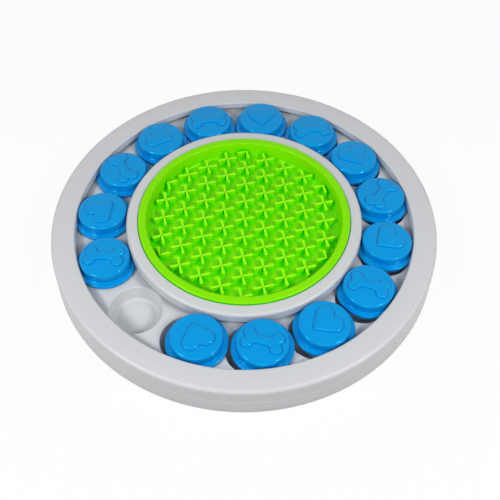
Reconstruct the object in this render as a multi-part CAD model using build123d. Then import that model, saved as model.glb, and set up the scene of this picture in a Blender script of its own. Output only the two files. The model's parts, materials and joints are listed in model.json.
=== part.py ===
from build123d import *
import os
from math import asin, cos, degrees, radians, sin

# Dog puzzle feeder toy. A round tray carries a ring-shaped track with treat pockets in its floor.
# The bowls of the pockets are solids of their own, which meet the track floor's underside face to face.
# Flanged sliders travel round the track and cover the pockets; one pocket is always free.
# A rim cover and a centre ring trap the slider flanges, and a silicone lick mat lies in the middle.
# Frame: millimetres, +Z up, origin on the table plane, on the axis of the toy.

# ---- how the grey mouldings stack up, from the table ----
foot_proud = 1.0            # the rubber feet lift the tray skirt by this much
skirt_height = 14.4         # foot of the skirt up to the joint line with the rim cover
floor_rise = 4.2            # joint line up to the floor of the track
recess_depth = 0.6          # the middle of the tray lies lower than the track
cover_rise = 9.1            # track floor up to the crown of the rim cover
cover_fall = 0.6            # the cover falls this much towards the track
ring_rise = 12.4            # track floor up to the top of the centre ring
ring_lip_rise = 1.4         # the ring's lip ends higher than the cover's
mat_proud = 1.7             # the mat's lip stands above the centre ring

# ---- walls, edges and clearances ----
shell_wall = 2.4            # walls of tray, cover and ring
plate = 2.2                 # floors of the tray
skirt_draft = 0.6           # lean of the skirt up to the joint line, and of the cover above it
rim_width = 19.75           # from the cover's lip at the track out to the foot of the skirt
crown_width = 9.0           # from the outside of the cover in to the crown of its top
crown_round = 20.0
shoulder_radius = 3.0       # rounded outer shoulder of the rim cover
ring_width = 8.75           # top of the centre ring
lip_lean = 0.7              # both lips lean away from the sliders towards their tops
seam_groove = 0.6           # small step that shows as the joint line
edge_round = 0.6            # broken edges of the grey mouldings
lip_round = 1.2             # rounding of the rim cover's edge along the track
ring_round = 2.5            # and of the centre ring's
fit = 0.3                   # clearance between pieces that locate each other
touch = 0.02                # sink of one feature of a moulding into the next, so that they fuse

# ---- track and pockets ----
track_radius = 111.0        # circle on which the slider centres travel
pocket_count = 15
first_pocket_angle = 225.5  # the free pocket, in degrees from +X
pocket_cover = 3.1          # a flange reaches past the mouth of its pocket by this much
pocket_draft = 3.0          # a pocket narrows this much towards its flat bottom
pocket_depth = 11.0
pocket_base_round = 3.2
pocket_edge_round = 0.9

# ---- sliders ----
slider_play = 1.16          # room between neighbouring flanges when each covers its own pocket
flange_thickness = 2.8
flange_round = 0.8
floor_gap = 0.2             # running gap under the flange
flange_ledge = 3.65         # the flange stands out from the slider's body by this much
slider_height = 11.1        # flange bottom up to the middle of the crowned top
slider_draft = 0.15
slider_wall = 2.2
slider_crown = 0.8
slider_round = 1.7          # soft edge of its top
slider_root_round = 0.8     # fillet between body and flange
guide_gap = 0.4             # between slider body and the two lips that guide it
first_slider_angle = 200.7  # the slider next to the free pocket
rest_gap = 0.3              # gap between flanges in the pushed-together run
pushed_count = 10           # sliders pushed up against the first one

# ---- raised emblems on the sliders ----
emblem_height = 1.2
emblem_round = 0.9
heart_lobe_radius = 6.2
heart_lobe_spread = 5.6     # lobe centres to either side
heart_tip_drop = 15.3       # tip below the lobe centres
heart_tip_round = 1.3
heart_notch_round = 0.8     # between the lobes
heart_lift = 4.3            # lobe centres above the slider's middle
bone_knob_radius = 4.3
bone_knob_reach = 10.5      # knob centres from the middle, lengthwise
bone_knob_spread = 4.1      # knob centres from the middle, crosswise
bone_shaft_width = 7.0
bone_hollow_round = 2.4     # where the shaft runs into the knobs
bone_notch_round = 1.0      # between the two knobs of an end

# direction in which each emblem points as the sliders were left, in degrees from +X:
# a bone's long axis or a heart's tip; the sliders are free to turn in the track
emblem_turns = [-3, 44, -61, -14, 9, -90, 7, -62, 57, 214, -20, 214, -15, 111]

# ---- lick mat ----
mat_lip_width = 6.2
mat_lip_depth = 3.7         # thickness of the lip on the ring's ledge
mat_seat_gap = 0.1          # between that lip and the ledge
mat_wall = 2.2
mat_floor = 3.0
mat_slope = 2.6             # the basin's wall leans out by this much
mat_round = 1.2
blade_field_steps = 4       # crosses along each side of the hexagonal field, less one
blade_margin = 0.9          # from the field's outermost cross centres to the basin's wall
blade_field_turn = -0.9
blade_turn = 15.0           # turn of each cross
blade_reach = 8.0           # middle of a cross to its tips
blade_height = 5.7
blade_root_width = 1.6
blade_tip_width = 2.4

# ---- screws ----
screw_radius = 1.45
screw_length = 7.0
screw_head_radius = 2.8
screw_head_height = 1.8
screw_slot_width = 0.6
screw_slot_depth = 1.0
pilot_gap = 0.05            # around the screw in its boss
boss_radius = 3.8
boss_overlap = 0.5          # a ring boss runs into the ring's skirt by this much
ring_screw_count = 5

# ---- feet ----
foot_depth = 2.6            # how far the foot sits in its post
foot_gap = 0.15
post_wall = 1.6

# ---- ribs under the tray ----
rib_width = 1.8
rib_depth = 8.0
hub_rib_radius = 48.0
hub_rib_depth = 6.0
hub_spoke_count = 5

# ---- heights that follow ----
seam_height = foot_proud + skirt_height
floor_height = seam_height + floor_rise
platform_height = floor_height - recess_depth
plate_bottom = floor_height - plate
cover_height = floor_height + cover_rise
cover_underside = cover_height - shell_wall
ring_height = floor_height + ring_rise
mat_height = ring_height + mat_proud
mat_bottom = platform_height + fit
ledge_height = mat_height - mat_lip_depth - mat_seat_gap
flange_bottom = floor_height + floor_gap
flange_top = flange_bottom + flange_thickness
slider_top = flange_bottom + slider_height
lip_bottom = flange_top + fit

# ---- radii that follow ----
pitch = 360 / pocket_count
slider_count = pocket_count - 1
flange_radius = track_radius * sin(radians(pitch / 2)) - slider_play / 2
slider_body_radius = flange_radius - flange_ledge
pocket_radius = flange_radius - pocket_cover
crown_radius = (slider_body_radius**2 + slider_crown**2) / (2 * slider_crown)
rim_lip_radius = track_radius + slider_body_radius + guide_gap
ring_lip_radius = track_radius - slider_body_radius - guide_gap
track_wall_radius = track_radius + flange_radius + fit
recess_radius = track_radius - flange_radius - fit
base_radius = rim_lip_radius + rim_width
seam_radius = base_radius - skirt_draft
tongue_radius = seam_radius - shell_wall - fit
ring_skirt_radius = recess_radius - fit
mat_bore = ring_lip_radius - lip_lean - ring_width
mat_radius = mat_bore - fit
mat_lip_inner = mat_radius - mat_lip_width
basin_radius = mat_lip_inner - mat_slope
ledge_radius = mat_lip_inner + mat_wall + fit
blade_pitch = (basin_radius - blade_margin) / blade_field_steps
post_inside = track_radius + pocket_radius + plate + fit
post_radius = (tongue_radius - fit - post_inside) / 2
foot_radius = post_radius - post_wall - foot_gap
foot_circle = post_inside + post_radius
rim_screw_circle = (track_wall_radius + plate + tongue_radius) / 2
ring_screw_circle = ring_skirt_radius - plate - boss_radius + boss_overlap


def revolved(corners, closing=None):
    """Solid of revolution about Z. Each corner is (radius, height) or (radius, height, rounding)."""
    points = [corner[:2] for corner in corners]
    path = Polyline(*points, close=closing is None)
    face = make_face(path if closing is None else path + closing)
    for corner in corners:
        if len(corner) == 3:
            spot = Vector(corner[0], corner[1])
            vertex = min(face.vertices(), key=lambda v: (v.center() - spot).length)
            face = fillet(vertex, corner[2])
    return revolve(Plane.XZ * face, Axis.Z)


def disc(radius, height):
    """Plain cylinder that stands on z = 0."""
    return Cylinder(radius, height, align=(Align.CENTER, Align.CENTER, Align.MIN))


def at_polar(radius, angle, height=0.0):
    """Place on a circle about Z, without turning what is placed."""
    return Pos(radius * cos(radians(angle)), radius * sin(radians(angle)), height)


def copies(shape, radius, angles, height=0.0):
    """The same shape at several places on a circle about Z."""
    return [at_polar(radius, angle, height) * shape for angle in angles]


def pocket_angles():
    return [first_pocket_angle + k * pitch for k in range(pocket_count)]


def foot_angles():
    """A foot in every third pocket place, under the rim."""
    return pocket_angles()[::3]


def rim_screw_angles():
    """The rim screws take the places between the feet."""
    return [angle for angle in pocket_angles() if angle not in foot_angles()]


def ring_screw_angles():
    return [first_pocket_angle + pitch / 2 + k * 360 / ring_screw_count for k in range(ring_screw_count)]


def slider_angles():
    """Clockwise from the free pocket: a run pushed together, then one pocket pitch apart."""
    pushed_pitch = 2 * degrees(asin((flange_radius + rest_gap / 2) / track_radius))
    angles = [first_slider_angle]
    for k in range(1, slider_count):
        angles.append(angles[-1] - (pushed_pitch if k <= pushed_count else pitch))
    return angles


def pocket_hollow():
    """The room of one treat pocket, with the rounded edge of its mouth."""
    bottom = floor_height - pocket_depth
    mouth = pocket_radius + pocket_edge_round
    above = floor_height + pocket_edge_round
    outline = Polyline(
        (mouth, floor_height), (mouth, above), (0, above), (0, bottom),
        (pocket_radius - pocket_draft, bottom), (pocket_radius, floor_height - pocket_edge_round),
    )
    edge = RadiusArc(outline @ 1, outline @ 0, pocket_edge_round)
    face = make_face(outline + edge)
    corner = Vector(pocket_radius - pocket_draft, bottom)
    base = min(face.vertices(), key=lambda v: (v.center() - corner).length)
    return revolve(Plane.XZ * fillet(base, pocket_base_round), Axis.Z)


def pocket_cup():
    """One pocket's bowl, which hangs under the track floor round its mouth."""
    bottom = floor_height - pocket_depth - plate
    bowl = revolved([
        (0, bottom),
        (pocket_radius - pocket_draft + plate, bottom, pocket_base_round + plate / 2),
        (pocket_radius + plate, plate_bottom),
        (0, plate_bottom),
    ])
    return bowl - pocket_hollow()


def track_rib():
    """One radial rib under the track floor, between two pockets."""
    inner = recess_radius + plate
    outer = tongue_radius - shell_wall + touch
    top = plate_bottom + touch
    return Pos((inner + outer) / 2, 0, top - rib_depth / 2) * Box(outer - inner, rib_width, rib_depth)


def hub_ribs():
    """A circular rib under the platform and the spokes that run out from it."""
    top = platform_height - plate + touch
    bottom = top - hub_rib_depth
    outside = hub_rib_radius + rib_width
    hoop = revolved([(hub_rib_radius, bottom), (outside, bottom), (outside, top), (hub_rib_radius, top)])
    inner = hub_rib_radius + rib_width / 2
    outer = recess_radius - plate
    spoke = Pos((inner + outer) / 2, 0, (top + bottom) / 2) * Box(outer - inner, rib_width, hub_rib_depth)
    turn = 360 / hub_spoke_count
    return [hoop] + [Rot(0, 0, first_pocket_angle + k * turn) * spoke for k in range(hub_spoke_count)]


def base_tray():
    """Skirt, track floor with the mouths of its pockets, and the platform under the mat."""
    ledge_bottom = seam_height - plate
    wall_top = cover_underside - fit
    tray = revolved([
        (0, platform_height - plate),
        (recess_radius - plate, platform_height - plate),
        (recess_radius + plate / 2, plate_bottom),
        (tongue_radius - shell_wall, plate_bottom),
        (tongue_radius - shell_wall, ledge_bottom),
        (seam_radius - shell_wall, ledge_bottom),
        (base_radius - shell_wall, foot_proud),
        (base_radius, foot_proud, edge_round),
        (seam_radius, seam_height - seam_groove),
        (seam_radius - seam_groove, seam_height),
        (tongue_radius, seam_height),
        (tongue_radius, floor_height, edge_round),
        (track_wall_radius + plate, floor_height),
        (track_wall_radius + plate, wall_top),
        (track_wall_radius, wall_top),
        (track_wall_radius, floor_height),
        (recess_radius, floor_height),
        (recess_radius, platform_height),
        (0, platform_height),
    ])
    post = disc(post_radius, plate_bottom + touch - foot_proud)
    additions = copies(post, foot_circle, foot_angles(), foot_proud)
    additions += [Rot(0, 0, angle + pitch / 2) * track_rib() for angle in pocket_angles()]
    additions += hub_ribs()
    socket = disc(foot_radius + foot_gap, foot_depth + foot_gap)
    hole = disc(screw_radius + fit, 2 * plate)
    removals = copies(pocket_hollow(), track_radius, pocket_angles())
    removals += copies(socket, foot_circle, foot_angles(), foot_proud)
    removals += copies(hole, rim_screw_circle, rim_screw_angles(), plate_bottom - plate / 2)
    removals += copies(hole, ring_screw_circle, ring_screw_angles(), platform_height - 1.5 * plate)
    return tray + additions - removals


def with_bosses(ring, circle, angles, bottom, top):
    """Adds the screw bosses of a screwed-on ring, with their pilot holes."""
    boss = disc(boss_radius, top - bottom)
    pilot = disc(screw_radius + pilot_gap, screw_length - plate + fit)
    return ring + copies(boss, circle, angles, bottom) - copies(pilot, circle, angles, bottom)


def rim_cover():
    """Outer ring: rounded shoulder, gently crowned top, and the lip that guides the sliders."""
    lip_inside = rim_lip_radius + shell_wall
    top_outside = seam_radius - skirt_draft
    cover = revolved([
        (seam_radius - shell_wall, seam_height),
        (seam_radius - seam_groove, seam_height),
        (seam_radius, seam_height + seam_groove),
        (top_outside, cover_height, shoulder_radius),
        (seam_radius - crown_width, cover_height, crown_round),
        (rim_lip_radius + lip_lean, cover_height - cover_fall, lip_round),
        (rim_lip_radius, lip_bottom, edge_round / 2),
        (lip_inside, lip_bottom),
        (lip_inside, cover_underside),
        (top_outside - shell_wall, cover_underside, shoulder_radius - shell_wall),
    ])
    return with_bosses(cover, rim_screw_circle, rim_screw_angles(), floor_height, cover_underside + touch)


def center_ring():
    """Inner ring: its lip guides the sliders, its ledge carries the mat, its skirt sits in the recess."""
    ring_lip_bottom = lip_bottom + ring_lip_rise
    ledge_bottom = ledge_height - shell_wall
    ring = revolved([
        (mat_bore, ledge_height),
        (mat_bore, ring_height, edge_round),
        (ring_lip_radius - lip_lean, ring_height, ring_round),
        (ring_lip_radius, ring_lip_bottom, edge_round / 2),
        (ring_skirt_radius, ring_lip_bottom),
        (ring_skirt_radius, platform_height),
        (ring_skirt_radius - plate, platform_height),
        (ring_skirt_radius - plate, ledge_bottom),
        (ledge_radius, ledge_bottom),
        (ledge_radius, ledge_height),
    ])
    return with_bosses(ring, ring_screw_circle, ring_screw_angles(), platform_height, ledge_bottom + touch)


def blade_cross(directions):
    """One cross of the lick mat, as arms that widen to round tips."""
    tip = blade_tip_width / 2
    root = blade_root_width / 2
    reach = blade_reach - tip
    arm = make_face(Polyline((0, -root), (reach, -tip), (reach, tip), (0, root), close=True))
    arm = arm + Pos(reach, 0) * Circle(tip)
    shape = Sketch() + [Rot(0, 0, direction) * arm for direction in directions]
    return extrude(shape, blade_height + mat_floor / 2)


def blade_field():
    """Crosses on a triangular field in a hexagon; those on its corners keep their two inward arms."""
    crosses = []
    arms = [blade_turn + 90 * k for k in range(4)]
    steps = range(-blade_field_steps, blade_field_steps + 1)
    places = [(q, r) for q in steps for r in steps if abs(q + r) <= blade_field_steps]
    for q, r in places:
        x = blade_pitch * cos(radians(30)) * q
        y = blade_pitch * (r + q / 2)
        corner = sorted((abs(q), abs(r), abs(q + r))) == [0, blade_field_steps, blade_field_steps]
        inward = Vector(-x, -y)
        kept = [a for a in arms if not corner or Vector(1, 0).rotate(Axis.Z, a).dot(inward) > 0]
        crosses.append(Pos(x, y) * blade_cross(kept))
    return [Pos(0, 0, mat_bottom + mat_floor / 2) * Rot(0, 0, blade_field_turn) * c for c in crosses]


def lick_mat():
    """Silicone dish with a thick lip, and the crosses on its floor."""
    lip_under = mat_height - mat_lip_depth
    dish = revolved([
        (0, mat_bottom),
        (basin_radius + mat_wall, mat_bottom, mat_wall),
        (mat_lip_inner + mat_wall, lip_under),
        (mat_radius, lip_under),
        (mat_radius, mat_height, mat_round),
        (mat_lip_inner, mat_height, mat_round),
        (basin_radius, mat_bottom + mat_floor, mat_round),
        (0, mat_bottom + mat_floor),
    ])
    return dish + blade_field()


def heart():
    """Two lobes and a body that narrows along their tangents to the tip, which points along +X."""
    lobes = [Pos(side * heart_lobe_spread, heart_lift) * Circle(heart_lobe_radius) for side in (-1, 1)]
    to_lobe = Vector(heart_lobe_spread, heart_tip_drop)
    lean = degrees(asin(heart_lobe_radius / to_lobe.length) + asin(heart_lobe_spread / to_lobe.length))
    side_length = (to_lobe.length**2 - heart_lobe_radius**2) ** 0.5
    tip = Vector(0, heart_lift - heart_tip_drop)
    left, right = [tip + Vector(0, side_length).rotate(Axis.Z, turn) for turn in (lean, -lean)]
    body = make_face(Polyline(
        tip, right, (heart_lobe_spread, heart_lift), (-heart_lobe_spread, heart_lift), left, close=True
    ))
    shape = fillet(min((body + lobes).vertices(), key=lambda v: v.Y), heart_tip_round)
    notch = [v for v in shape.vertices() if abs(v.X) < fit and v.Y > heart_lift]
    return Rot(0, 0, 90) * fillet(notch, heart_notch_round)


def bone():
    """A shaft with two knobs at each end, its long axis along X."""
    shape = Rectangle(2 * bone_knob_reach, bone_shaft_width)
    for along in (-1, 1):
        for across in (-1, 1):
            shape += Pos(along * bone_knob_reach, across * bone_knob_spread) * Circle(bone_knob_radius)
    hollows = [v for v in shape.vertices() if abs(v.X) < bone_knob_reach]
    shape = fillet(hollows, bone_hollow_round)
    notches = [v for v in shape.vertices() if abs(v.Y) < bone_notch_round / 2]
    return fillet(notches, bone_notch_round)


def emblem(outline):
    """A raised emblem whose top follows the slider's crown."""
    ball = Pos(0, 0, slider_top - crown_radius) * Sphere(crown_radius + emblem_height)
    root = slider_top - slider_crown - slider_wall / 2
    block = Pos(0, 0, root) * extrude(outline, slider_wall + slider_crown + emblem_height)
    raised = block & ball
    rim = raised.edges().filter_by(lambda e: e.center().Z > slider_top - slider_crown + emblem_height / 2)
    return fillet(rim, emblem_round)


def slider_shell():
    """Hollow body with a flange at its foot, open below."""
    top_radius = slider_body_radius - slider_draft
    edge_height = slider_top - slider_crown
    roof = edge_height - slider_wall
    walls = [
        (0, slider_top),
        (0, roof),
        (top_radius - slider_wall, roof),
        (slider_body_radius - slider_wall, flange_bottom),
        (flange_radius, flange_bottom),
        (flange_radius, flange_top, flange_round),
        (slider_body_radius, flange_top, slider_root_round),
        (top_radius, edge_height, slider_round),
    ]
    crown = RadiusArc((top_radius, edge_height), (0, slider_top), crown_radius)
    return revolved(walls, closing=crown)


def slider(index, angle):
    """Even places carry a bone and odd places a heart."""
    outline = heart() if index % 2 else bone()
    turned = Rot(0, 0, emblem_turns[index]) * outline
    return at_polar(track_radius, angle) * (slider_shell() + emblem(turned))


def screw():
    """Pan-head screw with a crossed slot, head down, its shank starting at z = 0."""
    head = Pos(0, 0, -screw_head_height) * disc(screw_head_radius, screw_head_height)
    head = fillet(head.edges().sort_by(Axis.Z)[0], screw_head_height / 2)
    slot = Box(1.2 * screw_head_radius, screw_slot_width, 2 * screw_slot_depth)
    crossed = Pos(0, 0, -screw_head_height) * (slot + Rot(0, 0, 90) * slot)
    return head + disc(screw_radius, screw_length) - crossed


def rubber_foot(angle):
    foot = disc(foot_radius, foot_proud + foot_depth)
    foot = fillet(foot.edges().sort_by(Axis.Z)[0], edge_round)
    return at_polar(foot_circle, angle) * foot


def all_nodes():
    nodes = {
        "base_tray": base_tray(),
        "rim_cover": rim_cover(),
        "center_ring": center_ring(),
        "lick_mat": lick_mat(),
    }
    rim_screws = copies(screw(), rim_screw_circle, rim_screw_angles(), plate_bottom)
    ring_screws = copies(screw(), ring_screw_circle, ring_screw_angles(), platform_height - plate)
    nodes["rim_screws"] = Compound(children=rim_screws)
    nodes["ring_screws"] = Compound(children=ring_screws)
    for number, angle in enumerate(pocket_angles(), start=1):
        nodes[f"pocket_cup_{number}"] = at_polar(track_radius, angle) * pocket_cup()
    for number, angle in enumerate(foot_angles(), start=1):
        nodes[f"rubber_foot_{number}"] = rubber_foot(angle)
    for index, angle in enumerate(slider_angles()):
        kind = "heart" if index % 2 else "bone"
        nodes[f"{kind}_slider_{index // 2 + 1}"] = slider(index, angle)
    return nodes


os.makedirs("parts", exist_ok=True)
for name, shape in all_nodes().items():
    export_step(shape, f"parts/{name}.step")
    print(f"{name}: {len(shape.solids())} solid(s), {shape.volume:.0f} mm3")
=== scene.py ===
# Dog puzzle feeder toy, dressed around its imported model.
# Lengths in the dictionaries are millimetres or degrees; meshes are in metres.
import json
import bmesh
import bpy
import numpy as np
from mathutils import Matrix, Vector

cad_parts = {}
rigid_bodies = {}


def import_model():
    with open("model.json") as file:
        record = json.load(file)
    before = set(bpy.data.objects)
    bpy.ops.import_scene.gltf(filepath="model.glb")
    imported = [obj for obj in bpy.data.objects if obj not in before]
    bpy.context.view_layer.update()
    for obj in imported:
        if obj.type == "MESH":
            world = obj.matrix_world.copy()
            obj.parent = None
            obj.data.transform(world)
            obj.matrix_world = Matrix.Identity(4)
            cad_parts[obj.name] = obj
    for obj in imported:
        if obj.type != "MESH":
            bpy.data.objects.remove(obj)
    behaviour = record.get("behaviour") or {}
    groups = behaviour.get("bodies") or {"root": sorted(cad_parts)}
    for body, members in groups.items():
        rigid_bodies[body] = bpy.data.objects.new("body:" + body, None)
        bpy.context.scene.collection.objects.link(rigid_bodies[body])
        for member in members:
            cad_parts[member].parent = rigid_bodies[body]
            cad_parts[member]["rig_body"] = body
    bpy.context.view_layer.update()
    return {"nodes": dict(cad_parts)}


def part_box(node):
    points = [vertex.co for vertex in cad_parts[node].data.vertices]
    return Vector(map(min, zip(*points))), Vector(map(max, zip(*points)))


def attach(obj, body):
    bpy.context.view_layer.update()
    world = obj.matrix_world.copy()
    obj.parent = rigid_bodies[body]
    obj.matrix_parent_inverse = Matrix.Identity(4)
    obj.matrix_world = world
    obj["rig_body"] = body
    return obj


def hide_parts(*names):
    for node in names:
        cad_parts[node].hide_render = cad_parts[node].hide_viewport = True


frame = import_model()
nodes = frame["nodes"]
print("frame loaded:", len(nodes), "nodes")

mm = 0.001


def boxInMm(node):
    low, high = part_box(node)
    return np.array(low) / mm, np.array(high) / mm


def arcPoints(centre, radius, start, end, steps):
    # points at equal angles on a circle, from start to end in radians
    angle = np.linspace(start, end, steps + 1)
    return np.stack([centre[0] + radius * np.cos(angle), centre[1] + radius * np.sin(angle)], 1)


def roundedProfile(corners, closed, stepAngle=12.0, support=0.35):
    # corners are (radius, height, rounding). A corner turns into the arc that is tangent to both its sides,
    # with one more point on each side just past the arc, so that flat stretches stay flat in the shading
    places = np.array([corner[:2] for corner in corners], float)
    points = []
    count = len(corners)
    for k in range(count):
        here = places[k]
        rounding = corners[k][2] if len(corners[k]) > 2 else 0
        if not rounding:
            points.append(here[None])
            continue
        before = places[k - 1] - here
        after = places[(k + 1) % count] - here
        roomBefore, roomAfter = np.linalg.norm(before), np.linalg.norm(after)
        before, after = before / roomBefore, after / roomAfter
        half = np.arccos(np.clip(before @ after, -1, 1)) / 2
        reach = rounding / np.tan(half)
        middle = here + (before + after) / np.linalg.norm(before + after) * rounding / np.sin(half)
        first = here + before * reach - middle
        last = here + after * reach - middle
        start = np.arctan2(first[1], first[0])
        turn = (np.arctan2(last[1], last[0]) - start + np.pi) % (2 * np.pi) - np.pi
        steps = max(2, int(np.ceil(abs(np.degrees(turn)) / stepAngle)))
        if roomBefore > reach + 2 * support:
            points.append((here + before * (reach + support))[None])
        points.append(arcPoints(middle, rounding, start, start + turn, steps))
        if roomAfter > reach + 2 * support:
            points.append((here + after * (reach + support))[None])
    return np.concatenate(points)


# a skin is an array of points with a list of the faces between them
def ringFaces(rowCount, columnCount, closedRows):
    # quads between each row and the next one; every row closes on itself
    row = np.arange(rowCount if closedRows else rowCount - 1)[:, None]
    column = np.arange(columnCount)[None, :]
    below, above = row * columnCount, (row + 1) % rowCount * columnCount
    following = (column + 1) % columnCount
    corners = (below + column, below + following, above + following, above + column)
    return np.stack(corners, -1).reshape(-1, 4)


def fanFaces(firstPoint, columnCount, pole, outwards):
    # triangles from one row to a pole
    column = firstPoint + np.arange(columnCount)
    following = np.roll(column, -1)
    pair = (following, column) if outwards else (column, following)
    return np.stack([pair[0], pair[1], np.full(columnCount, pole)], -1)


def rowsSkin(rows, startPole=None, endPole=None, closedRows=False):
    # a skin over rows of points, closed with a fan at each pole that is given
    rowCount, columnCount = rows.shape[:2]
    points = rows.reshape(-1, 3)
    faces = ringFaces(rowCount, columnCount, closedRows).tolist()
    for pole, row, outwards in ((startPole, 0, True), (endPole, rowCount - 1, False)):
        if pole is not None:
            faces += fanFaces(row * columnCount, columnCount, len(points), outwards).tolist()
            points = np.concatenate([points, np.array(pole, float)[None]])
    return points, faces


def revolvedSkin(profile, columns=360, middle=(0, 0)):
    # a profile of (radius, height) carried round a vertical axis: a ring where it stays off the axis, and a
    # closed disc or post where it starts and ends on the axis
    profile = np.array(profile, float)
    onAxis = profile[0, 0] == 0
    angle = np.arange(columns) * 2 * np.pi / columns
    radius, height = (profile[1:-1] if onAxis else profile).T[..., None]
    across = middle[0] + radius * np.cos(angle)
    along = middle[1] + radius * np.sin(angle)
    rows = np.stack([across, along, height + 0 * angle], -1)
    if not onAxis:
        return rowsSkin(rows, closedRows=True)
    return rowsSkin(rows, (*middle, profile[0, 1]), (*middle, profile[-1, 1]))


def joinSkins(skins):
    points, faces, used = [], [], 0
    for skinPoints, skinFaces in skins:
        points.append(skinPoints)
        faces += [[corner + used for corner in face] for face in skinFaces]
        used += len(skinPoints)
    return np.concatenate(points), faces


def newPiece(name, skin, smooth=True):
    points, faces = skin
    mesh = bpy.data.meshes.new(name)
    mesh.from_pydata(points * mm, [], faces)
    mesh.polygons.foreach_set("use_smooth", np.full(len(mesh.polygons), smooth))
    mesh.update()
    piece = bpy.data.objects.new(name, mesh)
    bpy.context.scene.collection.objects.link(piece)
    return piece


def weld(piece, distance=0.005):
    # merges points that the formulas put in one place, and drops the faces that this closes up
    work = bmesh.new()
    work.from_mesh(piece.data)
    bmesh.ops.remove_doubles(work, verts=work.verts, dist=distance * mm)
    work.to_mesh(piece.data)
    work.free()


def dress(piece, node, slot):
    # a modelled piece takes the place of one node of the same body
    piece.data.materials.clear()
    piece.data.materials.append(materials[slot])
    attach(piece, nodes[node]["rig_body"])
    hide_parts(node)


def linear(hexColour):
    # sRGB hex to the linear values that shaders use
    value = np.array([int(hexColour[k:k + 2], 16) for k in (1, 3, 5)]) / 255
    value = np.where(value <= 0.04045, value / 12.92, ((value + 0.055) / 1.055) ** 2.4)
    return (*value.tolist(), 1.0)


def addNode(tree, kind, settings=(), links=()):
    # one node, with its settings and the outputs that feed its inputs
    node = tree.nodes.new(kind)
    for key, value in dict(settings).items():
        if isinstance(key, int) or key in node.inputs:
            node.inputs[key].default_value = value
        else:
            setattr(node, key, value)
    for key, source in dict(links).items():
        tree.links.new(source, node.inputs[key])
    return node


def newMaterial(name):
    material = bpy.data.materials.new(name)
    material.use_nodes = True
    material.node_tree.nodes.clear()
    return material, material.node_tree


# what all moulded surfaces share, the settings of the painted corner shade and painted ridge highlight among
# them
finish = dict(driftDetail=2.0, markDetail=5.0, markRoughness=0.65, markDistortion=0.8, markLow=0.35,
              markHigh=0.7, grainDetail=3.0, grainRoughness=0.6, cornerSamples=6, cornerLow=0.45,
              ridgeHighlightLow=0.94)


def mouldedFinish(name, look):
    # a moulded surface: an even body colour that drifts a little, the grain of the mould, and handling marks
    material, tree = newMaterial(name)
    place = addNode(tree, "ShaderNodeTexCoord").outputs["Object"]
    drift = addNode(tree, "ShaderNodeTexNoise", {
        "Scale": 1 / (look["driftSize"] * mm), "Detail": finish["driftDetail"],
    }, {"Vector": place})
    colour = addNode(tree, "ShaderNodeMix", {
        "data_type": "RGBA", 6: linear(look["colour"]), 7: linear(look["driftColour"]),
    }, {0: drift.outputs["Fac"]})
    if "paintedShadeColour" in look:
        # painted shade: purer and deeper in colour in tight corners and hollows, as far as the ambient
        # occlusion reaches
        corner = addNode(tree, "ShaderNodeAmbientOcclusion", {
            "samples": finish["cornerSamples"], "Distance": look["paintedShadeReach"] * mm,
        })
        clear = addNode(tree, "ShaderNodeMapRange", {
            "From Min": finish["cornerLow"], "From Max": 1.0,
        }, {"Value": corner.outputs["AO"]})
        colour = addNode(tree, "ShaderNodeMix", {
            "data_type": "RGBA", 6: linear(look["paintedShadeColour"]),
        }, {0: clear.outputs["Result"], 7: colour.outputs[2]})
    if "ridgeHighlightColour" in look:
        # painted highlight: paler along the tops of the ridges
        ridgeHighlight = addNode(tree, "ShaderNodeAttribute", {"attribute_name": "ridgeHighlight"})
        pale = addNode(tree, "ShaderNodeMapRange", {
            "From Min": finish["ridgeHighlightLow"],
        }, {"Value": ridgeHighlight.outputs["Fac"]})
        colour = addNode(tree, "ShaderNodeMix", {
            "data_type": "RGBA", 7: linear(look["ridgeHighlightColour"]),
        }, {0: pale.outputs["Result"], 6: colour.outputs[2]})
    marks = addNode(tree, "ShaderNodeTexNoise", {
        "Scale": 1 / (look["markSize"] * mm), "Detail": finish["markDetail"],
        "Roughness": finish["markRoughness"], "Distortion": finish["markDistortion"],
    }, {"Vector": place})
    gloss = addNode(tree, "ShaderNodeMapRange", {
        "From Min": finish["markLow"], "From Max": finish["markHigh"],
        "To Min": look["roughness"] - look["roughnessSpread"],
        "To Max": look["roughness"] + look["roughnessSpread"],
    }, {"Value": marks.outputs["Fac"]})
    grain = addNode(tree, "ShaderNodeTexNoise", {
        "Scale": 1 / (look["grainSize"] * mm), "Detail": finish["grainDetail"],
        "Roughness": finish["grainRoughness"],
    }, {"Vector": place})
    bump = addNode(tree, "ShaderNodeBump", {
        "Strength": look["grainStrength"], "Distance": look["grainDepth"] * mm,
    }, {"Height": grain.outputs["Fac"]})
    shader = addNode(tree, "ShaderNodeBsdfPrincipled", {
        "IOR": look["ior"], "Specular Tint": (*look.get("sheen", (1.0, 1.0, 1.0)), 1.0),
    }, {
        "Base Color": colour.outputs[2], "Roughness": gloss.outputs["Result"],
        "Normal": bump.outputs["Normal"],
    })
    addNode(tree, "ShaderNodeOutputMaterial", links={"Surface": shader.outputs["BSDF"]})
    return material


# zinc-plated steel: bluish grey metal with a faint cloudiness from the bath
zinc = dict(colour="#b9bdc1", cloudSize=1.2, cloudDetail=3.0, smooth=0.28, dull=0.5)


def zincPlate():
    material, tree = newMaterial("zinc-plated steel")
    place = addNode(tree, "ShaderNodeTexCoord").outputs["Object"]
    cloud = addNode(tree, "ShaderNodeTexNoise", {
        "Scale": 1 / (zinc["cloudSize"] * mm), "Detail": zinc["cloudDetail"],
    }, {"Vector": place})
    gloss = addNode(tree, "ShaderNodeMapRange", {
        "To Min": zinc["smooth"], "To Max": zinc["dull"],
    }, {"Value": cloud.outputs["Fac"]})
    shader = addNode(tree, "ShaderNodeBsdfPrincipled", {
        "Base Color": linear(zinc["colour"]), "Metallic": 1.0,
    }, {"Roughness": gloss.outputs["Result"]})
    addNode(tree, "ShaderNodeOutputMaterial", links={"Surface": shader.outputs["BSDF"]})
    return material
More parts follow.
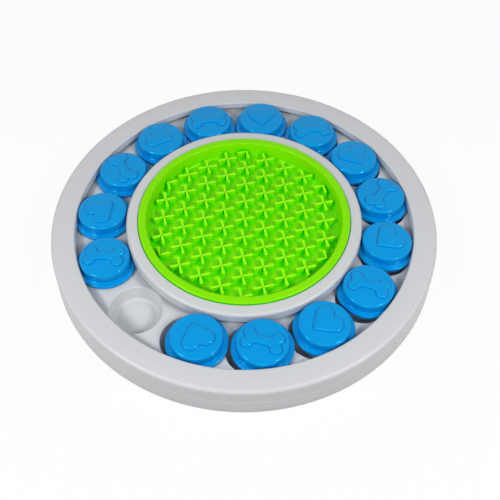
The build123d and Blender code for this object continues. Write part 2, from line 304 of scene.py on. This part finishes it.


# injection-moulded ABS from a spark-eroded mould: pale, satin, with a sparkle of fine grain, and painted
# shade that darkens it in its hollows
greyPlastic = dict(colour="#d2d3d6", driftColour="#cdcfd1", driftSize=70.0, markSize=9.0, roughness=0.42,
                   roughnessSpread=0.05, grainSize=0.55, grainStrength=0.35, grainDepth=0.05, ior=1.5,
                   paintedShadeColour="#bcc0c3", paintedShadeReach=9.0)
# injection-moulded ABS from a smoother mould: saturated and semi-gloss, with painted shade in the tight
# corners round the emblems and the flange
bluePlastic = dict(colour="#0096e2", driftColour="#0090da", driftSize=30.0, markSize=6.0, roughness=0.14,
                   roughnessSpread=0.03, grainSize=0.6, grainStrength=0.12, grainDepth=0.03, ior=1.54,
                   sheen=(0.1, 0.9, 1.0), paintedShadeColour="#006cbc", paintedShadeReach=1.5)
# compression-moulded silicone rubber: a soft, slightly yellow sheen, with painted shade at the feet of the
# crosses and a painted highlight along their ridges
greenSilicone = dict(colour="#88ec00", driftColour="#80e600", driftSize=25.0, markSize=5.0, roughness=0.30,
                     roughnessSpread=0.06, grainSize=0.7, grainStrength=0.15, grainDepth=0.04, ior=1.41,
                     sheen=(0.8, 1.0, 0.2), paintedShadeColour="#00dc00", paintedShadeReach=4.0, ridgeHighlightColour="#9cff14")
# moulded natural rubber: dark and matt
footRubber = dict(colour="#2b2c2e", driftColour="#242527", driftSize=6.0, markSize=3.0, roughness=0.7,
                  roughnessSpread=0.08, grainSize=0.4, grainStrength=0.5, grainDepth=0.05, ior=1.5)

materials = {
    "shell_grey": mouldedFinish("moulded ABS, spark-eroded satin", greyPlastic),
    "slider_blue": mouldedFinish("moulded ABS, semi-gloss", bluePlastic),
    "mat_green": mouldedFinish("moulded silicone rubber", greenSilicone),
    "foot_rubber": mouldedFinish("moulded rubber, matt", footRubber),
    "screw_steel": zincPlate(),
}
print("materials ready:", len(materials))


# corners that nobody sees are only broken a little
shell = dict(wall=2.4, plate=2.2, edgeRound=0.6, hiddenRound=0.25, lipLean=0.7, skirtDraft=0.6)
rimCover = dict(rimWidth=19.75, crownWidth=9.0, crownRound=20.0, shoulder=3.0, lipRound=1.2, fall=0.6,
                lipBottom=22.9, seamGroove=0.6, seamRound=0.25, runningGap=0.2)
centerRing = dict(topWidth=8.75, topRound=2.5, lipBottom=24.3, skirtRadius=87.9, ledgeRadius=78.3)
# the screw bosses hang inside both rings; the rim's take the pocket places between the feet
boss = dict(radius=3.8, pilotRadius=1.5, pilotDepth=5.1, sunk=0.3, rimCircle=141.35, ringCircle=82.4,
            ringCount=5)
pocket = dict(count=15, firstAngle=225.5, perFoot=3)


def bossSkins(circle, angles, bottom, top):
    # posts with a blind pilot hole each, sunk a little into the roof over them
    roof = top + boss["sunk"]
    holeTop = bottom + boss["pilotDepth"]
    profile = [(0, holeTop), (boss["pilotRadius"], holeTop), (boss["pilotRadius"], bottom),
               (boss["radius"], bottom), (boss["radius"], roof), (0, roof)]
    places = [(circle * np.cos(angle), circle * np.sin(angle)) for angle in np.radians(angles)]
    return [revolvedSkin(profile, 32, place) for place in places]


def buildRimCover():
    low, high = boxInMm("rim_cover")
    seamRadius = high[0]
    lipRadius = seamRadius + shell["skirtDraft"] - rimCover["rimWidth"]
    lipInside = lipRadius + shell["wall"]
    topOutside = seamRadius - shell["skirtDraft"]
    underside = high[2] - shell["wall"]
    profile = roundedProfile([
        (seamRadius - shell["wall"], low[2], shell["hiddenRound"]),
        (seamRadius - rimCover["seamGroove"], low[2], rimCover["seamRound"]),
        (seamRadius, low[2] + rimCover["seamGroove"], rimCover["seamRound"]),
        (topOutside, high[2], rimCover["shoulder"]),
        (seamRadius - rimCover["crownWidth"], high[2], rimCover["crownRound"]),
        (lipRadius + shell["lipLean"], high[2] - rimCover["fall"], rimCover["lipRound"]),
        (lipRadius, rimCover["lipBottom"], shell["edgeRound"] / 2),
        (lipInside, rimCover["lipBottom"], shell["hiddenRound"]),
        (lipInside, underside, shell["hiddenRound"]),
        (topOutside - shell["wall"], underside, rimCover["shoulder"] - shell["wall"]),
    ], True)
    steps = [k for k in range(pocket["count"]) if k % pocket["perFoot"]]
    angles = [pocket["firstAngle"] + k * 360 / pocket["count"] for k in steps]
    floor = boxInMm("bone_slider_1")[0][2] - rimCover["runningGap"]
    skins = [revolvedSkin(profile)] + bossSkins(boss["rimCircle"], angles, floor, underside)
    dress(newPiece("rim_cover_shell", joinSkins(skins)), "rim_cover", "shell_grey")


def buildCenterRing():
    low, high = boxInMm("center_ring")
    lipRadius = high[0]
    bore = lipRadius - shell["lipLean"] - centerRing["topWidth"]
    ledge = boxInMm("lick_mat")[1][2] - mat["lipDepth"] - mat["seatGap"]
    hidden = shell["hiddenRound"]
    skirt = centerRing["skirtRadius"]
    profile = roundedProfile([
        (centerRing["ledgeRadius"], ledge, hidden),
        (centerRing["ledgeRadius"], ledge - shell["wall"], hidden),
        (skirt - shell["plate"], ledge - shell["wall"], hidden),
        (skirt - shell["plate"], low[2], hidden),
        (skirt, low[2], hidden),
        (skirt, centerRing["lipBottom"], hidden),
        (lipRadius, centerRing["lipBottom"], shell["edgeRound"] / 2),
        (lipRadius - shell["lipLean"], high[2], centerRing["topRound"]),
        (bore, high[2], shell["edgeRound"]),
        (bore, ledge, hidden),
    ], True)
    halfPitch = 180 / pocket["count"]
    steps = range(boss["ringCount"])
    angles = [pocket["firstAngle"] + halfPitch + k * 360 / boss["ringCount"] for k in steps]
    skins = [revolvedSkin(profile)] + bossSkins(boss["ringCircle"], angles, low[2], ledge - shell["wall"])
    dress(newPiece("center_ring_shell", joinSkins(skins)), "center_ring", "shell_grey")


mat = dict(lipWidth=6.2, lipDepth=3.7, seatGap=0.1, wall=2.2, floor=3.0, slope=2.6, lipRound=1.3,
           lipUnderRound=0.5, neckRound=0.6, floorRound=2.0, markRadius=8.4, markHeight=0.15, markRound=0.3)
# half widths are at the foot of the wall; the draft and the round of the ridge come off them
cross = dict(steps=4, margin=0.9, fieldTurn=-0.9, turn=15.0, reach=8.1, rootHalf=0.95, tipHalf=1.35,
             height=5.7, draft=0.15, topRound=0.35, footRound=0.45, cornerRound=0.8, sunk=0.1,
             cornerPoints=4, tipPoints=6, flankShares=(0.3, 0.6, 0.85), roundAngles=(0, 30, 60, 90))


def dishSkin(low, high):
    # half a section, from the middle of the underside round the lip to the middle of the floor, which carries
    # a faint round mark
    lipInner = high[0] - mat["lipWidth"]
    basin = lipInner - mat["slope"]
    lipUnder = high[2] - mat["lipDepth"]
    floor = low[2] + mat["floor"]
    mark, rise = mat["markRadius"], mat["markHeight"]
    return revolvedSkin(roundedProfile([
        (0, low[2]),
        (basin + mat["wall"], low[2], mat["wall"]),
        (lipInner + mat["wall"], lipUnder, mat["neckRound"]),
        (high[0], lipUnder, mat["lipUnderRound"]),
        (high[0], high[2], mat["lipRound"]),
        (lipInner, high[2], mat["lipRound"]),
        (basin, floor, mat["floorRound"]),
        (mark + 2 * rise, floor, mat["markRound"]),
        (mark, floor + rise, mat["markRound"]),
        (0, floor + rise),
    ], False))


def armSide(hasNeighbour):
    # One side of an arm that points along +X, from beside the crossing to the middle of its tip: the arc of
    # the corner or of the crossing's back, the straight flank, and the arc of the tip, all tangent. Beside a
    # neighbour it starts in the middle of the rounded corner between them, and else on the round back of
    # the crossing. "lean" is how much the flank widens to the tip. Each point comes with its outward
    # direction and with how far along the arm's middle line the ridge over it lies.
    root, tip, corner = cross["rootHalf"], cross["tipHalf"], cross["cornerRound"]
    tipCentre = cross["reach"] - tip
    lean = np.arcsin((tip - root) / tipCentre)
    flankTurn = np.pi / 2 + lean
    angle = np.linspace(np.pi / 4 if hasNeighbour else 3 * np.pi / 4, flankTurn, cross["cornerPoints"])
    startOut = np.stack([np.cos(angle), np.sin(angle)], 1)
    if hasNeighbour:
        middle = (root + corner) / (np.cos(lean) - np.sin(lean))
        start = middle - corner * startOut
        startRidge = start[-1, 0] * np.linspace(0, 1, len(start))
    else:
        start = root * startOut
        startRidge = np.zeros(len(start))
    angle = np.linspace(flankTurn, 0, cross["tipPoints"])
    tipOut = np.stack([np.cos(angle), np.sin(angle)], 1)
    end = (tipCentre, 0) + tip * tipOut
    flank = start[-1] + (end[0] - start[-1]) * np.array(cross["flankShares"])[:, None]
    points = np.concatenate([start, flank, end])
    out = np.concatenate([startOut, np.repeat(tipOut[:1], len(flank), 0), tipOut])
    ridge = np.concatenate([startRidge, np.clip(flank[:, 0], 0, tipCentre), np.full(len(end), tipCentre)])
    return points, out, np.stack([ridge, 0 * ridge], 1)


def crossOutline(arms):
    # once round a cross whose arms point in these directions, anticlockwise
    mirror = np.array([1, -1])
    parts = []
    for arm in arms:
        before = armSide((arm - 90) % 360 in [other % 360 for other in arms])
        after = armSide((arm + 90) % 360 in [other % 360 for other in arms])
        turn = np.radians(arm)
        swing = np.array([[np.cos(turn), np.sin(turn)], [-np.sin(turn), np.cos(turn)]])
        parts.append([np.concatenate([a * mirror, b[-2:0:-1]]) @ swing for a, b in zip(before, after)])
    return [np.concatenate(part) for part in zip(*parts)]


def crossSkin(place, arms, floor):
    # rows from under the floor, through the hollow round of the foot, up the drafted wall and over the
    # rounded ridge; each is the outline moved outwards by some distance, at some height over the floor
    outline, out, ridge = crossOutline(arms)
    foot, top, height = cross["footRound"], cross["topRound"], cross["height"]
    steps = [(foot, -cross["sunk"])]
    turns = np.radians(cross["roundAngles"])
    steps += [(foot * (1 - np.sin(a)), foot * (1 - np.cos(a))) for a in turns]
    steps += [(-cross["draft"] - top * (1 - np.cos(a)), height - top * (1 - np.sin(a))) for a in turns]
    layers = [(ridge, -cross["sunk"])] + [(outline + out * away, z) for away, z in steps] + [(ridge, height)]
    rows = [np.concatenate([plan + place, np.full((len(plan), 1), floor + z)], 1) for plan, z in layers]
    return rowsSkin(np.array(rows))


def buildLickMat():
    low, high = boxInMm("lick_mat")
    floor = low[2] + mat["floor"]
    basin = high[0] - mat["lipWidth"] - mat["slope"]
    steps = cross["steps"]
    pitch = (basin - cross["margin"]) / steps
    turn = np.radians(cross["fieldTurn"])
    swing = np.array([[np.cos(turn), np.sin(turn)], [-np.sin(turn), np.cos(turn)]])
    arms = [cross["turn"] + cross["fieldTurn"] + 90 * k for k in range(4)]
    skins = [dishSkin(low, high)]
    # a triangular field in a hexagon; the crosses on its corners keep only their two inward arms
    for q in range(-steps, steps + 1):
        for r in range(max(-steps, -steps - q), min(steps, steps - q) + 1):
            place = np.array([pitch * np.cos(np.pi / 6) * q, pitch * (r + q / 2)]) @ swing
            kept = arms
            if sorted((abs(q), abs(r), abs(q + r))) == [0, steps, steps]:
                pointing = [(np.cos(angle), np.sin(angle)) for angle in np.radians(arms)]
                kept = [arm for arm, direction in zip(arms, pointing) if np.dot(direction, place) < 0]
            skins.append(crossSkin(place, kept, floor))
    skin = joinSkins(skins)
    piece = newPiece("lick_mat_silicone", skin)
    # mask of the painted ridge highlight: 1 along the ridges of the crosses and 0 at their feet; the dish
    # gets 0 all over
    ridgeHighlight = np.clip((skin[0][:, 2] - floor) / cross["height"], 0, 1)
    ridgeHighlight[:len(skins[0][0])] = 0
    piece.data.attributes.new("ridgeHighlight", "FLOAT", "POINT").data.foreach_set("value", ridgeHighlight)
    weld(piece)
    dress(piece, "lick_mat", "mat_green")
    print("lick mat:", len(skins) - 1, "crosses")


buildRimCover()
buildCenterRing()
buildLickMat()
print("shells and lick mat done")


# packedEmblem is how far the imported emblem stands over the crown; crownInset counts edge rounds
slider = dict(bodyRadius=18.85, draft=0.15, wall=2.2, crown=0.8, edgeRound=1.7, rootRound=0.9,
              flangeThickness=2.8, flangeRound=0.8, footRound=0.25, roofRound=0.8, roofCentre=3.0,
              packedEmblem=1.2, crownInset=1.6, columns=240)
emblem = dict(height=1.7, edgeRound=1.55, footRound=0.12, topShares=(0, 0.3, 0.6, 0.85),
              edgeAngles=(0, 18, 36, 54, 72, 90), footAngles=(0, 30, 60, 90), crownShares=(0.2, 0.45, 0.75))
heart = dict(lobeRadius=6.2, lobeSpread=5.6, tipDrop=15.3, tipRound=1.3, notchRound=0.8, lift=4.3)
bone = dict(knobRadius=4.3, knobReach=10.5, knobSpread=4.1, shaftWidth=7.0, hollowRound=2.4, notchRound=1.0)
pointsPerArc = 200
# where each slider's bone or heart points, in degrees from +X, as the sliders were left
emblemTurns = dict(
    bone_slider_1=-3, heart_slider_1=44, bone_slider_2=-61, heart_slider_2=-14, bone_slider_3=9,
    heart_slider_3=-90, bone_slider_4=7, heart_slider_4=-62, bone_slider_5=57, heart_slider_5=214,
    bone_slider_6=-20, heart_slider_6=214, bone_slider_7=-15, heart_slider_7=111)


def outlineFrom(arcs, count):
    # Half an outline, from one crossing of its axis to the other, as arcs joined by straight lines; each arc
    # is (centre x, centre y, radius, start, end), and one that runs clockwise is a hollow. The other half
    # mirrors it. Points lie at equal distances along the line. Gives the points and their outward directions.
    line, facing = [], []
    for x, y, radius, start, end in arcs:
        angle = np.radians(np.linspace(start, end, pointsPerArc))
        outward = np.stack([np.cos(angle), np.sin(angle)], 1)
        line.append(np.array([x, y]) + radius * outward)
        facing.append(outward if end > start else -outward)
    line, facing = np.concatenate(line), np.concatenate(facing)
    travelled = np.concatenate([[0], np.cumsum(np.linalg.norm(np.diff(line, axis=0), axis=1))])
    wanted = np.linspace(0, travelled[-1], count // 2 + 1)
    half = np.stack([np.interp(wanted, travelled, line[:, k]) for k in (0, 1)], 1)
    out = np.stack([np.interp(wanted, travelled, facing[:, k]) for k in (0, 1)], 1)
    out /= np.linalg.norm(out, axis=1)[:, None]
    mirror = np.array([1, -1])
    points = np.concatenate([half, half[-2:0:-1] * mirror])
    return points, np.concatenate([out, out[-2:0:-1] * mirror])


def heartOutline(count):
    # from the tip on +X along the straight flank, round the lobe, into the notch
    lobeX, lobeY, lobe = -heart["lift"], heart["lobeSpread"], heart["lobeRadius"]
    reach = np.hypot(heart["lobeSpread"], heart["tipDrop"])
    lean = np.arcsin(lobe / reach) + np.arcsin(heart["lobeSpread"] / reach)
    tip = heart["tipDrop"] - heart["lift"] - heart["tipRound"] / np.sin(lean)
    toNotch = lobe + heart["notchRound"]
    notch = lobeX - np.sqrt(toNotch**2 - lobeY**2)
    bend = np.degrees(np.arctan2(lobeY, lobeX - notch))
    flank = 90 - np.degrees(lean)
    arcs = [
        (tip, 0, heart["tipRound"], 0, flank),
        (lobeX, lobeY, lobe, flank, 180 + bend),
        (notch, 0, heart["notchRound"], bend, 0),
    ]
    return *outlineFrom(arcs, count), (lobeX, tip)


def boneOutline(count):
    # from the notch between the knobs on +X, round a knob, along the shaft, and round to the other notch
    knobX, knobY, knob = bone["knobReach"], bone["knobSpread"], bone["knobRadius"]
    toNotch = knob + bone["notchRound"]
    notch = knobX + np.sqrt(toNotch**2 - knobY**2)
    bend = np.degrees(np.arctan2(knobY, notch - knobX))
    hollowY = bone["shaftWidth"] / 2 + bone["hollowRound"]
    toHollow = knob + bone["hollowRound"]
    hollowX = knobX - np.sqrt(toHollow**2 - (hollowY - knobY)**2)
    waist = np.degrees(np.arctan2(hollowY - knobY, knobX - hollowX))
    quarter = [
        (notch, 0, bone["notchRound"], 180, 180 - bend),
        (knobX, knobY, knob, -bend, 180 - waist),
        (hollowX, hollowY, bone["hollowRound"], -waist, -90),
    ]
    rest = [(-x, y, r, 180 - end, 180 - start) for x, y, r, start, end in quarter[::-1]]
    return *outlineFrom(quarter + rest, count), (-knobX, knobX)


def buildSlider(node):
    # rows from the middle of the emblem out over the crown and down to the hollow underneath. A row on the
    # crown is a flat outline lifted onto a sphere: z = top - R + sqrt(R^2 - x^2 - y^2)
    low, high = boxInMm(node)
    centre = (low + high) / 2
    flangeRadius = (high[0] - low[0]) / 2
    emblemOutline = heartOutline if node.startswith("heart") else boneOutline
    outline, facing, axisEnds = emblemOutline(slider["columns"])
    top = high[2] - slider["packedEmblem"]
    topRadius = slider["bodyRadius"] - slider["draft"]
    crownRadius = (slider["bodyRadius"]**2 + slider["crown"]**2) / (2 * slider["crown"])

    def crownHeight(plan):
        return top - crownRadius + np.sqrt(crownRadius**2 - (plan**2).sum(-1))

    def lifted(plan, above):
        return np.concatenate([plan, (crownHeight(plan) + above)[:, None]], 1)

    # the emblem's top, from its middle line out to where its edge begins to round
    edge, foot, height = emblem["edgeRound"], emblem["footRound"], emblem["height"]
    axis = np.stack([np.clip(outline[:, 0], *axisEnds), 0 * outline[:, 1]], 1)
    inner = outline - facing * edge
    rows = [lifted(axis + (inner - axis) * share, height) for share in emblem["topShares"]]
    # rounded edge, wall and hollow foot of the emblem
    for angle in np.radians(emblem["edgeAngles"]):
        plan = outline - facing * edge * (1 - np.sin(angle))
        rows.append(lifted(plan, height - edge * (1 - np.cos(angle))))
    for angle in np.radians(emblem["footAngles"]):
        plan = outline + facing * foot * (1 - np.cos(angle))
        rows.append(lifted(plan, foot * (1 - np.sin(angle))))
    # the crown, out to the circle where the slider's own edge begins to round
    turn = np.arange(slider["columns"]) * 2 * np.pi / slider["columns"]
    circle = np.stack([np.cos(turn), np.sin(turn)], 1)
    around = outline + facing * foot
    crownEdge = topRadius - slider["crownInset"] * slider["edgeRound"]
    rows += [lifted(around + (circle * crownEdge - around) * share, 0) for share in emblem["crownShares"]]
    # body, flange and the hollow underneath, as a profile carried round
    roof = top - slider["crown"] - slider["wall"]
    bottom = low[2]
    flangeTop = bottom + slider["flangeThickness"]
    edgeHeight = crownHeight(np.array([topRadius, 0]))
    profile = roundedProfile([
        (crownEdge, crownHeight(np.array([crownEdge, 0]))),
        (topRadius, edgeHeight, slider["edgeRound"]),
        (slider["bodyRadius"], flangeTop, slider["rootRound"]),
        (flangeRadius, flangeTop, slider["flangeRound"]),
        (flangeRadius, bottom, slider["footRound"]),
        (slider["bodyRadius"] - slider["wall"], bottom, slider["footRound"]),
        (topRadius - slider["wall"], roof, slider["roofRound"]),
        (slider["roofCentre"], roof),
    ], False)
    rows += [np.concatenate([circle * radius, np.full((len(turn), 1), z)], 1) for radius, z in profile]
    rows = np.array(rows)
    swing = np.radians(emblemTurns[node])
    turned = np.array([[np.cos(swing), np.sin(swing)], [-np.sin(swing), np.cos(swing)]])
    rows[..., :2] = rows[..., :2] @ turned + centre[:2]
    piece = newPiece(f"{node}_shell", rowsSkin(rows[::-1], startPole=(*centre[:2], roof)))
    weld(piece)
    dress(piece, node, "slider_blue")


for node in emblemTurns:
    buildSlider(node)
print("sliders done:", len(emblemTurns))


# these nodes keep their own mesh and get their material
keptSlots = dict(base_tray="shell_grey", pocket_cup="shell_grey", rubber_foot="foot_rubber",
                 rim_screws="screw_steel", ring_screws="screw_steel")
for name, node in nodes.items():
    for start, slot in keptSlots.items():
        if name.startswith(start):
            for k in range(len(node.material_slots)):
                node.material_slots[k].material = materials[slot]


studio = dict(floorSize=8000.0, worldStrength=0.27, floorPaint="#f2f2f2", floorBounce="#b0b0b0",
              whiteShare=0.92)
# two round soft boxes, one on each side and a little in front, draw the paired glints on the rounded edges,
# and a larger one further off in front fills the outside of the rim
lamps = dict(left=dict(place=(-500, -330, 590), size=200, power=2.7),
             right=dict(place=(500, -330, 590), size=200, power=2.7),
             front=dict(place=(0, -800, 650), size=400, power=1.3))


def whiteForTheEye(tree):
    # 1 for rays from the camera, reflections and refractions, which then see a white background
    path = addNode(tree, "ShaderNodeLightPath").outputs
    seen = addNode(tree, "ShaderNodeMath", {"operation": "MAXIMUM"},
                   {0: path["Is Camera Ray"], 1: path["Is Glossy Ray"]})
    return addNode(tree, "ShaderNodeMath", {"operation": "MAXIMUM"},
                   {0: seen.outputs[0], 1: path["Is Transmission Ray"]}).outputs[0]


def buildFloor():
    # a white sweep: mostly plain white to the eye, and its share of matt paint keeps the shadow; the light
    # that it sends back up onto the toy is that of a greyer floor
    material, tree = newMaterial("white studio floor, matt")
    seen = whiteForTheEye(tree)
    tone = addNode(tree, "ShaderNodeMix", {
        "data_type": "RGBA", 6: linear(studio["floorBounce"]), 7: linear(studio["floorPaint"]),
    }, {0: seen})
    paint = addNode(tree, "ShaderNodeBsdfDiffuse", links={"Color": tone.outputs[2]})
    glow = addNode(tree, "ShaderNodeEmission", {"Color": (1, 1, 1, 1), "Strength": 1.0})
    share = addNode(tree, "ShaderNodeMath", {"operation": "MULTIPLY", 1: studio["whiteShare"]}, {0: seen})
    mix = addNode(tree, "ShaderNodeMixShader", links={
        0: share.outputs[0], 1: paint.outputs[0], 2: glow.outputs[0],
    })
    addNode(tree, "ShaderNodeOutputMaterial", links={"Surface": mix.outputs[0]})
    half = studio["floorSize"] / 2
    corners = np.array([(-half, -half, 0), (half, -half, 0), (half, half, 0), (-half, half, 0)])
    floor = newPiece("studio_floor", (corners, [(0, 1, 2, 3)]), smooth=False)
    floor.data.materials.append(material)


def buildLight():
    world = bpy.data.worlds.new("studio")
    bpy.context.scene.world = world
    world.use_nodes = True
    tree = world.node_tree
    tree.nodes.clear()
    light = addNode(tree, "ShaderNodeBackground", {
        "Color": (1, 1, 1, 1), "Strength": studio["worldStrength"],
    })
    white = addNode(tree, "ShaderNodeBackground", {"Color": (1, 1, 1, 1), "Strength": 1.0})
    mix = addNode(tree, "ShaderNodeMixShader", links={
        0: whiteForTheEye(tree), 1: light.outputs[0], 2: white.outputs[0],
    })
    addNode(tree, "ShaderNodeOutputWorld", links={"Surface": mix.outputs[0]})
    for name, look in lamps.items():
        lamp = bpy.data.lights.new(name, "AREA")
        lamp.shape = "DISK"
        lamp.size = look["size"] * mm
        lamp.energy = look["power"]
        holder = bpy.data.objects.new(name, lamp)
        holder.location = Vector(look["place"]) * mm
        holder.rotation_euler = Vector(look["place"]).to_track_quat("Z", "Y").to_euler()
        bpy.context.scene.collection.objects.link(holder)


view = dict(place=(4.67, -366.8, 481.63), tilt=53.454, roll=0.439, lens=53.9, sensor=36.0)


def buildCamera():
    # looks north and down by the tilt, turned a little about its own axis
    tilt, roll = np.radians(view["tilt"]), np.radians(view["roll"])
    right = np.array([1.0, 0, 0])
    up = np.array([0, np.sin(tilt), np.cos(tilt)])
    back = np.array([0, -np.cos(tilt), np.sin(tilt)])
    across = np.cos(roll) * right + np.sin(roll) * up
    upright = np.cos(roll) * up - np.sin(roll) * right
    lens = bpy.data.cameras.new("camera")
    lens.lens = view["lens"]
    lens.sensor_width = view["sensor"]
    camera = bpy.data.objects.new("camera", lens)
    turn = np.stack([across, upright, back], 1)
    camera.matrix_world = Matrix.Translation(Vector(view["place"]) * mm) @ Matrix(turn.tolist()).to_4x4()
    bpy.context.scene.collection.objects.link(camera)
    bpy.context.scene.camera = camera


buildFloor()
buildLight()
buildCamera()
bpy.context.scene.view_settings.view_transform = "Standard"
print("floor, light and camera ready")
